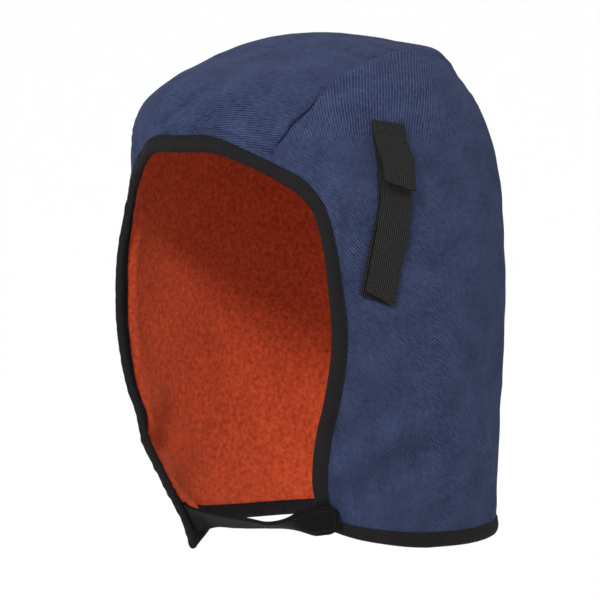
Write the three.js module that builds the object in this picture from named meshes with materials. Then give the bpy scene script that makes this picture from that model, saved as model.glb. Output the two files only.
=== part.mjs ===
// Winter hood worn under a hard hat: a twill shell of three panels over a fleece lining,
// bound edges, a chin strap and a webbing hat tab on each side. Millimetres, +Z up.
// +X is the wearer's left, -Y the wearer's front. The origin is the inside of the crown.
import * as THREE from 'three';

// Overall form
const hoodHeight = 250;
const halfWidth = 88;
const frontReach = 100;
const backReach = 102;

// Cloth, tape and clearances
const shellWall = 1.2;
const liningWall = 2.5;
const clearance = 0.3;
const tapeWall = 1.0;
const tapeWidth = 7;
const tapeEnd = 13;
const tapeClearance = 0.7;
const seamClearance = 0.5;
const strapWidth = 16;
const strapWall = 2;
const webbingWidth = 19;
const webbingWall = 1.5;
const tabPlateLength = 40;

// Grid of the cloth
const rowsDown = 20;
const columnsAcross = 14;
const crownColumns = 10;

const clothStack = shellWall + clearance + liningWall;
// Cloth from the crown to a reach of 1, in hood heights
const drapeRatio = 1.32;
const drapeLength = drapeRatio * hoodHeight;
const degree = Math.PI / 180;

// Level sections. reach: 0 at the crown, 1 near the hem; drop: share of the height;
// side, front, back: shares of the half width and of the reaches; power: squareness.
const sections = [
  { reach: 0.00, drop: 0.000, side: 0.000, front: 0.00, back: 0.000, power: 2.00 },
  { reach: 0.05, drop: 0.006, side: 0.193, front: 0.17, back: 0.294, power: 2.00 },
  { reach: 0.10, drop: 0.018, side: 0.364, front: 0.30, back: 0.578, power: 2.00 },
  { reach: 0.15, drop: 0.036, side: 0.511, front: 0.41, back: 0.755, power: 2.00 },
  { reach: 0.20, drop: 0.060, side: 0.625, front: 0.54, back: 0.784, power: 2.05 },
  { reach: 0.26, drop: 0.096, side: 0.739, front: 0.75, back: 0.824, power: 2.10 },
  { reach: 0.33, drop: 0.152, side: 0.841, front: 0.93, back: 0.912, power: 2.15 },
  { reach: 0.41, drop: 0.232, side: 0.909, front: 0.99, back: 0.980, power: 2.20 },
  { reach: 0.50, drop: 0.336, side: 0.955, front: 1.06, back: 1.005, power: 2.25 },
  { reach: 0.60, drop: 0.460, side: 0.989, front: 1.27, back: 1.000, power: 2.30 },
  { reach: 0.70, drop: 0.588, side: 1.000, front: 1.22, back: 0.990, power: 2.30 },
  { reach: 0.80, drop: 0.720, side: 1.000, front: 0.98, back: 0.975, power: 2.30 },
  { reach: 0.90, drop: 0.856, side: 0.977, front: 0.76, back: 0.961, power: 2.30 },
  { reach: 1.00, drop: 1.000, side: 0.943, front: 0.55, back: 0.966, power: 2.30 },
  { reach: 1.06, drop: 1.088, side: 0.926, front: 0.46, back: 0.966, power: 2.30 },
];

// Outlines on the cloth. angle: degrees from the wearer's front; reach as above.
const foreheadEdge = [
  { angle: 0, reach: 0.412 },
  { angle: 14, reach: 0.413 },
  { angle: 28, reach: 0.434 },
  { angle: 39, reach: 0.458 },
];
const cheekEdgeLeft = [
  { angle: 39.0, reach: 0.458 },
  { angle: 49.0, reach: 0.489 },
  { angle: 57.0, reach: 0.540 },
  { angle: 61.0, reach: 0.585 },
  { angle: 62.2, reach: 0.640 },
  { angle: 60.5, reach: 0.720 },
  { angle: 52.0, reach: 0.808 },
  { angle: 41.5, reach: 0.897 },
  { angle: 38.0, reach: 0.940 },
  { angle: 38.5, reach: 0.988 },
];
const cheekEdgeRight = [
  ...cheekEdgeLeft.slice(0, 8),
  { angle: 37.5, reach: 0.940 },
  { angle: 35.0, reach: 0.995 },
  { angle: 31.5, reach: 1.042 },
];
const hemLeft = [
  { angle: 38.5, reach: 0.988 },
  { angle: 51.0, reach: 1.001 },
  { angle: 66.0, reach: 1.009 },
  { angle: 90.0, reach: 1.017 },
  { angle: 120.0, reach: 1.020 },
  { angle: 150.0, reach: 1.016 },
];
const hemRight = [
  { angle: 31.5, reach: 1.042 },
  { angle: 38.0, reach: 1.042 },
  { angle: 46.0, reach: 1.030 },
  { angle: 58.0, reach: 1.016 },
  { angle: 74.0, reach: 1.014 },
  { angle: 95.0, reach: 1.020 },
  { angle: 120.0, reach: 1.020 },
  { angle: 150.0, reach: 1.016 },
];
const napeHem = [
  { angle: 150, reach: 1.016 },
  { angle: 165, reach: 1.014 },
  { angle: 180, reach: 1.013 },
];
const topSeam = [
  { angle: 39.0, reach: 0.458 },
  { angle: 38.5, reach: 0.410 },
  { angle: 43.0, reach: 0.385 },
  { angle: 51.5, reach: 0.329 },
  { angle: 60.0, reach: 0.262 },
  { angle: 72.0, reach: 0.212 },
  { angle: 90.0, reach: 0.176 },
  { angle: 112.0, reach: 0.162 },
  { angle: 135.0, reach: 0.195 },
];
const backSeam = [
  { angle: 135.0, reach: 0.195 },
  { angle: 143.0, reach: 0.270 },
  { angle: 147.0, reach: 0.380 },
  { angle: 149.0, reach: 0.600 },
  { angle: 150.0, reach: 0.800 },
  { angle: 150.0, reach: 1.016 },
];

// The binding draws the forehead edge in. angle: degrees from the front; depth: share of
// the half width. The draw fades over drawSpread of reach.
const foreheadDraw = [
  { angle: 0, depth: 0.060 },
  { angle: 15, depth: 0.084 },
  { angle: 30, depth: 0.098 },
  { angle: 42, depth: 0.084 },
  { angle: 50, depth: 0.051 },
  { angle: 58, depth: 0.017 },
  { angle: 66, depth: 0.003 },
  { angle: 75, depth: 0 },
  { angle: 180, depth: 0 },
];
const drawSpread = 0.07;

// Soft folds, one row each. side: 1 left, -1 right, 0 both; height over zero stands out;
// width and height in shares of the half width.
const folds = [
  { side: 0, angle: [128, 142], reach: [0.16, 0.20], width: 0.20, height: 0.034 },
  { side: 0, angle: [64, 69], reach: [0.55, 0.64], width: 0.14, height: -0.023 },
  { side: 0, angle: [53, 68], reach: [0.860, 0.838], width: 0.12, height: -0.030 },
  { side: 0, angle: [50, 62], reach: [0.895, 0.884], width: 0.11, height: 0.024 },
  { side: 1, angle: [51, 74], reach: [0.934, 0.906], width: 0.11, height: -0.028 },
  { side: 1, angle: [74, 90], reach: [0.906, 0.862], width: 0.11, height: -0.024 },
  { side: -1, angle: [50, 80], reach: [0.960, 0.915], width: 0.12, height: -0.028 },
  { side: -1, angle: [52, 66], reach: [1.020, 1.045], width: 0.18, height: -0.120 },
  { side: 1, angle: [104, 124], reach: [0.830, 0.960], width: 0.11, height: 0.022 },
  { side: 1, angle: [118, 132], reach: [0.760, 0.930], width: 0.12, height: -0.020 },
  { side: -1, angle: [110, 128], reach: [0.800, 0.950], width: 0.12, height: -0.022 },
  { side: -1, angle: [18, 30], reach: [0.330, 0.385], width: 0.12, height: -0.022 },
  { side: -1, angle: [40, 55], reach: [0.190, 0.270], width: 0.11, height: 0.020 },
  { side: 1, angle: [24, 40], reach: [0.362, 0.395], width: 0.10, height: -0.018 },
  { side: 0, angle: [22, 52], reach: [0.392, 0.425], width: 0.22, height: 0.030 },
  { side: 0, angle: [165, 172], reach: [0.420, 0.560], width: 0.16, height: -0.020 },
];

// Chin strap, from inside the right corner to outside the left one. angle and reach as
// above; outward: 0 against the inner tape, 1 against the outer; lean: degrees, 0 upright.
const strapFaceInside = -(clothStack + 2 * tapeClearance + tapeWall + strapWall / 2);
const strapFaceOutside = 2 * tapeClearance + tapeWall + strapWall / 2;
const strapRoute = [
  { angle: -50, reach: 1.004, outward: -0.04, lean: 0 },
  { angle: -44, reach: 1.004, outward: -0.03, lean: 0 },
  { angle: -38, reach: 1.004, outward: -0.07, lean: 0 },
  { angle: -30, reach: 1.003, outward: -0.06, lean: 6 },
  { angle: -18, reach: 0.999, outward: 0.22, lean: 28 },
  { angle: -4, reach: 0.993, outward: 0.50, lean: 34 },
  { angle: 10, reach: 0.987, outward: 0.73, lean: 44 },
  { angle: 20, reach: 0.984, outward: 0.91, lean: 50 },
  { angle: 28, reach: 0.979, outward: 1.08, lean: 34 },
  { angle: 34, reach: 0.974, outward: 1.10, lean: 6 },
  { angle: 40, reach: 0.971, outward: 1.05, lean: 0 },
  { angle: 46, reach: 0.972, outward: 1.00, lean: 0 },
];
const strapSteps = 40;

// Hat tab, on each side. The strap lies on the shell, and the flap over it lifts towards
// its end. lift: share of the webbing's width.
const tabStrapRoute = [
  { angle: 76.3, reach: 0.371 },
  { angle: 76.9, reach: 0.430 },
  { angle: 77.9, reach: 0.488 },
];
const tabPlateCentre = { angle: 76.5, reach: 0.595 };
const tabPlateFoot = { angle: 74.6, reach: 0.655 };
const tabFlapRoute = [
  { angle: 76.0, reach: 0.369, lift: 0 },
  { angle: 76.0, reach: 0.393, lift: 0.01 },
  { angle: 76.2, reach: 0.413, lift: 0.07 },
  { angle: 76.7, reach: 0.442, lift: 0.17 },
  { angle: 76.9, reach: 0.481, lift: 0.21 },
];
const tabFlapAhead = { angle: 76.9, reach: 0.522 };
const tabStand = 2 * clearance + webbingWall / 2;
const flapStand = tabStand + clearance + webbingWall;

// Smooth curve through rows: cubic pieces whose slopes weigh both neighbours
function through(keys, values, key) {
  const last = keys.length - 1;
  const rate = (i) => (values[i + 1] - values[i]) / (keys[i + 1] - keys[i]);
  const slope = (i) => {
    if (i === 0) return rate(0);
    if (i === last) return rate(last - 1);
    const before = keys[i] - keys[i - 1];
    const after = keys[i + 1] - keys[i];
    return (rate(i - 1) * after + rate(i) * before) / (before + after);
  };
  let i = 0;
  while (i < last - 1 && key > keys[i + 1]) i += 1;
  const span = keys[i + 1] - keys[i];
  const t = (key - keys[i]) / span;
  const t2 = t * t;
  const t3 = t2 * t;
  return (2 * t3 - 3 * t2 + 1) * values[i] + (t3 - 2 * t2 + t) * span * slope(i)
    + (3 * t2 - 2 * t3) * values[i + 1] + (t3 - t2) * span * slope(i + 1);
}

// Section columns, continued past the crown so that its top is round
const mirrored = sections.slice(1, 4).reverse();
const sectionReach = [...mirrored.map((row) => -row.reach), ...sections.map((row) => row.reach)];
function column(name, sign) {
  return [...mirrored.map((row) => sign * row[name]), ...sections.map((row) => row[name])];
}
const sectionColumns = {
  drop: column('drop', 1),
  side: column('side', -1),
  front: column('front', -1),
  back: column('back', -1),
  power: column('power', 1),
};

// Smooth form of the hood at an angle in radians and a reach
function form(angle, reach) {
  const at = (name) => through(sectionReach, sectionColumns[name], reach);
  const sine = Math.sin(angle);
  const cosine = Math.cos(angle);
  const bend = 2 / at('power');
  const depth = cosine > 0 ? -frontReach * at('front') : backReach * at('back');
  return new THREE.Vector3(
    halfWidth * at('side') * Math.sign(sine) * Math.abs(sine) ** bend,
    depth * Math.abs(cosine) ** bend,
    clothStack - hoodHeight * at('drop'),
  );
}

// A chart lays the cloth out flat: a to the wearer's left, b to the back, crown at 0, 0
function chart(row, side = 1) {
  const angle = row.angle * degree * side;
  return new THREE.Vector2(row.reach * Math.sin(angle), -row.reach * Math.cos(angle));
}
const angleOf = (spot) => Math.atan2(spot.x, -spot.y);

const chartStep = 0.002;
function normalOf(surface, spot) {
  const across = surface(new THREE.Vector2(spot.x + chartStep, spot.y))
    .sub(surface(new THREE.Vector2(spot.x - chartStep, spot.y)));
  const along = surface(new THREE.Vector2(spot.x, spot.y + chartStep))
    .sub(surface(new THREE.Vector2(spot.x, spot.y - chartStep)));
  return across.cross(along).normalize();
}

// A place laid out flat in mm. The way round grows until the hood is at its full width.
const fullWidthReach = 0.4;
function layFlat(angle, reach) {
  const around = halfWidth * angle * Math.min(reach / fullWidthReach, 1);
  return new THREE.Vector2(around, drapeLength * reach);
}

function foldHeight(fold, angle, reach) {
  const side = fold.side === 0 ? Math.sign(angle) || 1 : fold.side;
  const from = layFlat(fold.angle[0] * degree, fold.reach[0]);
  const to = layFlat(fold.angle[1] * degree, fold.reach[1]);
  const here = layFlat(angle * side, reach);
  const run = to.clone().sub(from);
  const share = THREE.MathUtils.clamp(here.clone().sub(from).dot(run) / run.lengthSq(), 0, 1);
  const away = here.distanceTo(from.addScaledVector(run, share)) / (fold.width * halfWidth);
  return fold.height * halfWidth * Math.exp(-away * away);
}

const drawAngles = foreheadDraw.map((row) => row.angle);
const drawDepths = foreheadDraw.map((row) => row.depth);
const edgeRows = [...foreheadEdge, ...cheekEdgeLeft.slice(1, 4)];
const edgeAngles = edgeRows.map((row) => row.angle);
const edgeReaches = edgeRows.map((row) => row.reach);

function relief(spot) {
  const angle = angleOf(spot);
  const reach = spot.length();
  const turn = Math.abs(angle) / degree;
  const edge = through(edgeAngles, edgeReaches, Math.min(turn, edgeAngles.at(-1)));
  const nearness = Math.exp(-(((reach - edge) / drawSpread) ** 2));
  const drawn = halfWidth * Math.max(through(drawAngles, drawDepths, turn), 0) * nearness;
  const folded = folds.reduce((sum, fold) => sum + foldHeight(fold, angle, reach), 0);
  return folded - drawn;
}

const smoothCloth = (spot) => form(angleOf(spot), spot.length());
const foldedCloth = (spot) => smoothCloth(spot)
  .addScaledVector(normalOf(smoothCloth, spot), relief(spot));

// A place on the cloth, a given stand off the shell's outer face
function place(spot, stand) {
  return foldedCloth(spot).addScaledVector(normalOf(foldedCloth, spot), stand);
}

// Evenly stepped spots on an outline, by the length of the real edge
function outline(rows, count, side = 1) {
  const places = rows.map((row) => smoothCloth(chart(row)));
  const lengths = [0];
  for (let i = 1; i < places.length; i += 1) {
    lengths.push(lengths[i - 1] + places[i].distanceTo(places[i - 1]));
  }
  const angles = rows.map((row) => row.angle);
  const reaches = rows.map((row) => row.reach);
  return Array.from({ length: count }, (_, i) => {
    const length = lengths.at(-1) * i / (count - 1);
    const angle = through(lengths, angles, length);
    return chart({ angle, reach: through(lengths, reaches, length) }, side);
  });
}

// Grid between four outlines: top and bottom run across, left and right run down
function patch(top, bottom, left, right) {
  const columns = top.length;
  const rows = left.length;
  const grid = [];
  for (let j = 0; j < rows; j += 1) {
    const v = j / (rows - 1);
    grid.push([]);
    for (let i = 0; i < columns; i += 1) {
      const u = i / (columns - 1);
      const spot = top[i].clone().multiplyScalar(1 - v).addScaledVector(bottom[i], v);
      spot.addScaledVector(left[j], 1 - u).addScaledVector(right[j], u);
      spot.addScaledVector(top[0], -(1 - u) * (1 - v)).addScaledVector(top.at(-1), -u * (1 - v));
      spot.addScaledVector(bottom[0], -(1 - u) * v).addScaledVector(bottom.at(-1), -u * v);
      grid[j].push(spot);
    }
  }
  return grid;
}

const transpose = (grid) => grid[0].map((_, i) => grid.map((row) => row[i]));

// The spot a given length in from an edge spot towards its inner neighbour
function stepIn(edge, inner, length) {
  const gap = smoothCloth(edge).distanceTo(smoothCloth(inner));
  return edge.clone().lerp(inner, length / gap);
}

// Adds the row where the edge tape's legs end, and spaces the row before it
const shareBeforeTape = 2 / 3;
const tapeRowAtEnd = (grid) => {
  const [third, second, edge] = grid.slice(-3);
  const row = edge.map((spot, i) => stepIn(spot, second[i], tapeWidth));
  const before = third.map((spot, i) => spot.clone().lerp(row[i], shareBeforeTape));
  return [...grid.slice(0, -2), before, row, edge];
};
const tapeRowAtStart = (grid) => tapeRowAtEnd([...grid].reverse()).reverse();

// Moves one edge row inwards by half the clearance of a seam
function seamAtEnd(grid) {
  const edge = grid.at(-1).map((spot, i) => stepIn(spot, grid.at(-2)[i], seamClearance / 2));
  return [...grid.slice(0, -1), edge];
}
const seamAtStart = (grid) => seamAtEnd([...grid].reverse()).reverse();

// Sews grids of cloth spots into one closed wall between two stands
function clothWall(grids, outerStand, innerStand) {
  const keys = new Map();
  const spots = [];
  const index = (spot) => {
    const key = `${spot.x.toFixed(6)} ${spot.y.toFixed(6)}`;
    if (!keys.has(key)) {
      keys.set(key, spots.length);
      spots.push(spot);
    }
    return keys.get(key);
  };
  const faces = [];
  for (const grid of grids) {
    for (let j = 1; j < grid.length; j += 1) {
      for (let i = 1; i < grid[0].length; i += 1) {
        const corners = [grid[j - 1][i - 1], grid[j - 1][i], grid[j][i], grid[j][i - 1]];
        const quad = shortSplit(corners.map(foldedCloth));
        faces.push(...quad.map((face) => face.map((k) => index(corners[k]))));
      }
    }
  }
  const doubleArea = ([a, b, c]) => spots[b].clone().sub(spots[a])
    .cross(spots[c].clone().sub(spots[a]));
  for (const face of faces) {
    if (doubleArea(face) < 0) face.reverse();
  }
  const edges = new Set(faces.flatMap(([a, b, c]) => [`${a} ${b}`, `${b} ${c}`, `${c} ${a}`]));
  const under = spots.length;
  const triangles = faces.flatMap(([a, b, c]) => [a, b, c, under + c, under + b, under + a]);
  for (const edge of edges) {
    const [a, b] = edge.split(' ').map(Number);
    if (!edges.has(`${b} ${a}`)) triangles.push(a, under + a, under + b, a, under + b, b);
  }
  const outer = spots.map((spot) => place(spot, outerStand));
  const inner = spots.map((spot) => place(spot, innerStand));
  return body([...outer, ...inner], triangles);
}

// Splits four corners along the shorter way across
function shortSplit([a, b, c, d]) {
  if (a.distanceTo(c) < b.distanceTo(d)) return [[0, 1, 2], [0, 2, 3]];
  return [[0, 1, 3], [1, 2, 3]];
}

function body(points, triangles) {
  const geometry = new THREE.BufferGeometry();
  geometry.setFromPoints(points);
  geometry.setIndex(triangles);
  geometry.computeVertexNormals();
  return geometry;
}

// Closed bar through loops of equal length, whose points run right handed round the way
function bar(loops) {
  const size = loops[0].length;
  const triangles = [];
  for (let i = 1; i < loops.length; i += 1) {
    for (let k = 0; k < size; k += 1) {
      const next = (k + 1) % size;
      const corners = [loops[i - 1][k], loops[i - 1][next], loops[i][next], loops[i][k]];
      const before = (i - 1) * size;
      const places = [before + k, before + next, before + size + next, before + size + k];
      triangles.push(...shortSplit(corners).flat().map((corner) => places[corner]));
    }
  }
  const section = loops[0];
  const capLoop = flatOutline(section);
  const cap = THREE.ShapeUtils.triangulateShape(capLoop, []);
  const last = (loops.length - 1) * size;
  const inward = THREE.ShapeUtils.isClockWise(capLoop);
  for (const [a, b, c] of cap) {
    if (inward) triangles.push(a, b, c, last + a, last + c, last + b);
    else triangles.push(a, c, b, last + a, last + b, last + c);
  }
  const geometry = body(loops.flat(), triangles);
  return signedVolume(geometry) < 0 ? turnedOut(geometry) : geometry;
}

// The outline of a loop in its own plane, for closing a bar's ends
function flatOutline(loop) {
  const normal = new THREE.Vector3();
  loop.forEach((point, i) => {
    normal.add(point.clone().cross(loop[(i + 1) % loop.length]));
  });
  normal.normalize();
  const across = loop[1].clone().sub(loop[0]).projectOnPlane(normal).normalize();
  const up = normal.clone().cross(across);
  return loop.map((point) => new THREE.Vector2(point.dot(across), point.dot(up)));
}

function signedVolume(geometry) {
  const position = geometry.getAttribute('position');
  const corner = (i) => new THREE.Vector3().fromBufferAttribute(position, i);
  let volume = 0;
  for (let i = 0; i < geometry.index.count; i += 3) {
    const [a, b, c] = [0, 1, 2].map((k) => corner(geometry.index.getX(i + k)));
    volume += a.dot(b.cross(c)) / 6;
  }
  return volume;
}

function turnedOut(geometry) {
  geometry.setIndex(Array.from(geometry.index.array).reverse());
  geometry.computeVertexNormals();
  return geometry;
}

// Edge tape: a channel folded round the shell and lining, through edge and leg spots
function tapeLoop({ edge, leg }) {
  const edgeNormal = normalOf(foldedCloth, edge);
  const edgeFace = foldedCloth(edge);
  const out = edgeFace.clone().sub(foldedCloth(leg)).normalize();
  const atEdge = (stand, past) => edgeFace.clone()
    .addScaledVector(edgeNormal, stand).addScaledVector(out, past);
  const top = tapeClearance + tapeWall;
  const bottom = -(clothStack + tapeClearance + tapeWall);
  return [
    place(leg, top),
    atEdge(top, 0),
    atEdge(tapeClearance, top),
    atEdge(bottom + tapeWall, top),
    atEdge(bottom, 0),
    place(leg, bottom),
    place(leg, bottom + tapeWall),
    atEdge(bottom + tapeWall, tapeClearance),
    atEdge(tapeClearance, tapeClearance),
    place(leg, tapeClearance),
  ];
}

const tape = (stations) => bar(stations.map(tapeLoop));

// Flat band through stations, each with a centre, a direction across and a normal
function bandLoop({ centre, across, normal, width, wall }) {
  const corner = (side, stand) => centre.clone()
    .addScaledVector(across, side * width / 2).addScaledVector(normal, stand);
  return [corner(-1, -wall / 2), corner(1, -wall / 2), corner(1, wall / 2), corner(-1, wall / 2)];
}

const part = new THREE.Group();

function add(name, geometry, material) {
  const mesh = new THREE.Mesh(geometry, material);
  mesh.name = name;
  part.add(mesh);
}

function finish(color, roughness) {
  return new THREE.MeshStandardMaterial({ color, roughness, metalness: 0 });
}
const twill = () => finish(0x384059, 0.9);
const fleece = () => finish(0x94381f, 1.0);
const blackTape = () => finish(0x24242a, 0.9);
const webbing = () => finish(0x2a2a2a, 0.85);

// Outlines shared by shell, lining and tapes
const seamTop = { 1: outline(topSeam, columnsAcross), '-1': outline(topSeam, columnsAcross, -1) };
const seamBack = { 1: outline(backSeam, rowsDown), '-1': outline(backSeam, rowsDown, -1) };

function sideGrid(side) {
  const cheek = outline(side > 0 ? cheekEdgeLeft : cheekEdgeRight, rowsDown, side);
  const hem = outline(side > 0 ? hemLeft : hemRight, columnsAcross, side);
  const plain = patch(seamTop[side], hem, cheek, seamBack[side]);
  const withHemRow = tapeRowAtEnd(plain);
  return transpose(tapeRowAtStart(transpose(withHemRow)));
}

function crownGrid() {
  const half = outline(foreheadEdge, crownColumns / 2 + 1);
  const nape = outline(napeHem, crownColumns / 2 + 1).reverse();
  const bothSides = (spots) => {
    const right = spots.slice(1).reverse().map((spot) => new THREE.Vector2(-spot.x, spot.y));
    return [...right, ...spots];
  };
  const right = [...seamTop[-1], ...seamBack[-1].slice(1)];
  const left = [...seamTop[1], ...seamBack[1].slice(1)];
  return tapeRowAtStart(tapeRowAtEnd(patch(bothSides(half), bothSides(nape), right, left)));
}

const grids = { left: sideGrid(1), right: sideGrid(-1), crown: crownGrid() };

// Shell panels, apart by the seams' clearance
function sidePanel(grid) {
  const clearTop = seamAtStart(grid);
  return transpose(seamAtEnd(transpose(clearTop)));
}
const crownPanel = transpose(seamAtStart(seamAtEnd(transpose(grids.crown))));
add('crown_panel', clothWall([crownPanel], 0, -shellWall), twill());
add('side_panel_left', clothWall([sidePanel(grids.left)], 0, -shellWall), twill());
add('side_panel_right', clothWall([sidePanel(grids.right)], 0, -shellWall), twill());

// Lining, one sewn piece under the three panels. Its seam rows are the crown grid's own.
const liningFace = -(shellWall + clearance);
function sewn(grid) {
  const seams = [...grids.crown.map((row) => row[0]), ...grids.crown.map((row) => row.at(-1))];
  const nearest = (spot) => seams.reduce((best, seam) => (
    seam.distanceToSquared(spot) < best.distanceToSquared(spot) ? seam : best));
  const columns = transpose(grid);
  const last = columns.length - 1;
  const top = grid[0].map(nearest);
  const back = columns[last].map(nearest);
  return grid.map((row, j) => row.map((spot, i) => {
    if (j === 0) return top[i];
    return i === last ? back[j] : spot;
  }));
}
const liningGrids = [grids.crown, sewn(grids.left), sewn(grids.right)];
add('fleece_lining', clothWall(liningGrids, liningFace, -clothStack), fleece());

// Edge stations of one side: down the cheek edge, then round the corner and along the hem.
// The legs of the stations beside the corner crowd together there, as a mitre does.
const mitreShare = 0.2;
function sideStations(grid) {
  const cheek = grid.map((row) => ({ edge: row[0], leg: row[1] }));
  const hem = grid.at(-1).map((spot, i) => ({ edge: spot, leg: grid.at(-2)[i] }));
  const corner = { edge: grid.at(-1)[0], leg: grid.at(-2)[1] };
  const beside = (station, next) => ({
    edge: station.edge,
    leg: corner.leg.clone().lerp(next.leg, mitreShare),
  });
  const before = beside(cheek.at(-2), cheek.at(-3));
  const after = beside(hem[1], hem[2]);
  const away = (station) => foldedCloth(station.edge).distanceTo(foldedCloth(corner.edge));
  const cheekAbove = cheek.filter((station) => away(station) > tapeEnd);
  const foot = cheekAbove.at(-1);
  const next = cheek[cheekAbove.length];
  const blend = clearance / foldedCloth(foot.edge).distanceTo(foldedCloth(next.edge));
  const start = {
    edge: foot.edge.clone().lerp(next.edge, blend),
    leg: foot.leg.clone().lerp(next.leg, blend),
  };
  const cheekBelow = cheek.slice(cheekAbove.length, -2);
  const around = [start, ...cheekBelow, before, corner, after, ...hem.slice(2)];
  return { cheekAbove, around };
}
const leftStations = sideStations(grids.left);
const rightStations = sideStations(grids.right);
const forehead = grids.crown[0].map((spot, i) => ({ edge: spot, leg: grids.crown[1][i] }));
const nape = grids.crown.at(-1).map((spot, i) => ({ edge: spot, leg: grids.crown.at(-2)[i] }));
const faceStations = [
  ...[...rightStations.cheekAbove].reverse(),
  ...forehead.slice(1, -1),
  ...leftStations.cheekAbove,
];
const hemStations = [
  ...rightStations.around,
  ...nape.slice(1, -1),
  ...[...leftStations.around].reverse(),
];
add('face_binding', tape(faceStations), blackTape());
add('hem_binding', tape(hemStations), blackTape());

// Chin strap: level round the jaw, turned flat under the chin, with a rounded tongue
const wayStep = 0.5;
function chinStrap() {
  const angles = strapRoute.map((row) => row.angle);
  const at = (name, angle) => through(angles, strapRoute.map((row) => row[name]), angle);
  const angleAt = (i) => THREE.MathUtils.lerp(angles[0], angles.at(-1), i / strapSteps);
  const spotAt = (angle) => chart({ angle, reach: at('reach', angle) });
  const standAt = (angle) => THREE.MathUtils.lerp(
    strapFaceInside,
    strapFaceOutside,
    at('outward', angle),
  );
  const centreAt = (angle) => place(spotAt(angle), standAt(angle));
  const loops = [];
  let toTip = 0;
  for (let i = strapSteps; i >= 0; i -= 1) {
    const angle = angleAt(i);
    const centre = centreAt(angle);
    toTip += centre.distanceTo(centreAt(angleAt(Math.min(i + 1, strapSteps))));
    const way = centreAt(angle + wayStep).sub(centreAt(angle - wayStep)).normalize();
    const upright = normalOf(foldedCloth, spotAt(angle)).cross(way).normalize();
    const across = upright.applyAxisAngle(way, at('lean', angle) * degree);
    const normal = way.clone().cross(across);
    const tip = Math.min((toTip + strapWall) / (strapWidth / 2), 1);
    const width = strapWidth * Math.sqrt(1 - (1 - tip) ** 2);
    loops.push(bandLoop({ centre, across, normal, width, wall: strapWall }));
  }
  return bar(loops);
}
add('chin_strap', chinStrap(), blackTape());

// Frame of a tab station: on the smooth shell, square to the way the tab runs
function tabFrame(row, ahead, side) {
  const spot = chart(row, side);
  const normal = normalOf(foldedCloth, spot);
  const centre = foldedCloth(spot);
  const way = foldedCloth(chart(ahead, side)).sub(centre).projectOnPlane(normal).normalize();
  return { centre, normal, across: way.clone().cross(normal), way };
}

function tabStrap(side) {
  const plate = tabFrame(tabPlateCentre, tabPlateFoot, side);
  const plateStation = (along) => ({
    ...plate,
    centre: plate.centre.clone().addScaledVector(plate.normal, tabStand)
      .addScaledVector(plate.way, along * tabPlateLength / 2),
  });
  const upper = tabStrapRoute.map((row, i) => {
    const ahead = tabStrapRoute[i + 1] ?? tabPlateCentre;
    const frame = tabFrame(row, ahead, side);
    frame.centre.addScaledVector(frame.normal, tabStand);
    return frame;
  });
  const stations = [...upper, plateStation(-1), plateStation(1)];
  const size = { width: webbingWidth, wall: webbingWall };
  return bar(stations.map((station) => bandLoop({ ...station, ...size })));
}

function tabFlap(side) {
  const stations = tabFlapRoute.map((row, i) => {
    const frame = tabFrame(row, tabFlapRoute[i + 1] ?? tabFlapAhead, side);
    frame.centre.addScaledVector(frame.normal, flapStand + row.lift * webbingWidth);
    return frame;
  });
  const size = { width: webbingWidth, wall: webbingWall };
  return bar(stations.map((station) => bandLoop({ ...station, ...size })));
}

for (const [word, side] of [['left', 1], ['right', -1]]) {
  add(`hat_tab_strap_${word}`, tabStrap(side), webbing());
  add(`hat_tab_flap_${word}`, tabFlap(side), webbing());
}

export default part;
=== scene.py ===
# %% [markdown]
# # Winter hood for a hard hat
# The hood is a twill shell of three panels over a fleece lining. Its edges are bound in
# black tape, a chin strap closes it, and a webbing tab on each side holds it to the hat.
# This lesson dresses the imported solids: every soft solid gives way to a finer piece of
# sewn cloth in the same place. Lengths are millimetres until a mesh is made.

# %% Load the fixed frame
import math

import bpy
import numpy as np
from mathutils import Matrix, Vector


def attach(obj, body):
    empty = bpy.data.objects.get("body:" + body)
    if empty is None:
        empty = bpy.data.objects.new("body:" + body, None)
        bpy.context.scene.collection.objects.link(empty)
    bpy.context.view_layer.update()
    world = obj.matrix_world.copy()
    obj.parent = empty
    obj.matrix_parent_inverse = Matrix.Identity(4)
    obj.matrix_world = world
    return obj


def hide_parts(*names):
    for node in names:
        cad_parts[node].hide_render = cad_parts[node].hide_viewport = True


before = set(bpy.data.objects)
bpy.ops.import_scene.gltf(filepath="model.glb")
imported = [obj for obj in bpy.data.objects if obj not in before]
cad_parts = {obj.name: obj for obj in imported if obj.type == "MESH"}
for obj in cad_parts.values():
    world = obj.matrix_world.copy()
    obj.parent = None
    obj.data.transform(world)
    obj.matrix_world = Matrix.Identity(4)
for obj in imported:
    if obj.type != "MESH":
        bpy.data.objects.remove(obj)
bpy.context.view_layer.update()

MM = 0.001


def put(name, data):
    """New object with this data, in the scene"""
    made = bpy.data.objects.new(name, data)
    bpy.context.scene.collection.objects.link(made)
    return made


print("solids:", sorted(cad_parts))

# %% [markdown]
# ## Camera
# The hood is seen from its front left, a little above its middle, through a long lens.
# The lens follows from the scale of the picture: so many pixels for each millimetre at
# the distance of the target.

# %% Camera
VIEW_AZIMUTH = 45
VIEW_ELEVATION = 3
VIEW_DISTANCE = 1.6
VIEW_TARGET = np.array([-4.6, -4.6, -133.0]) * MM
PICTURE_SIDE = 600
PIXELS_PER_MM = 1.95
SENSOR = 36
CLIP_START = 0.05
CLIP_END = 100


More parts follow.
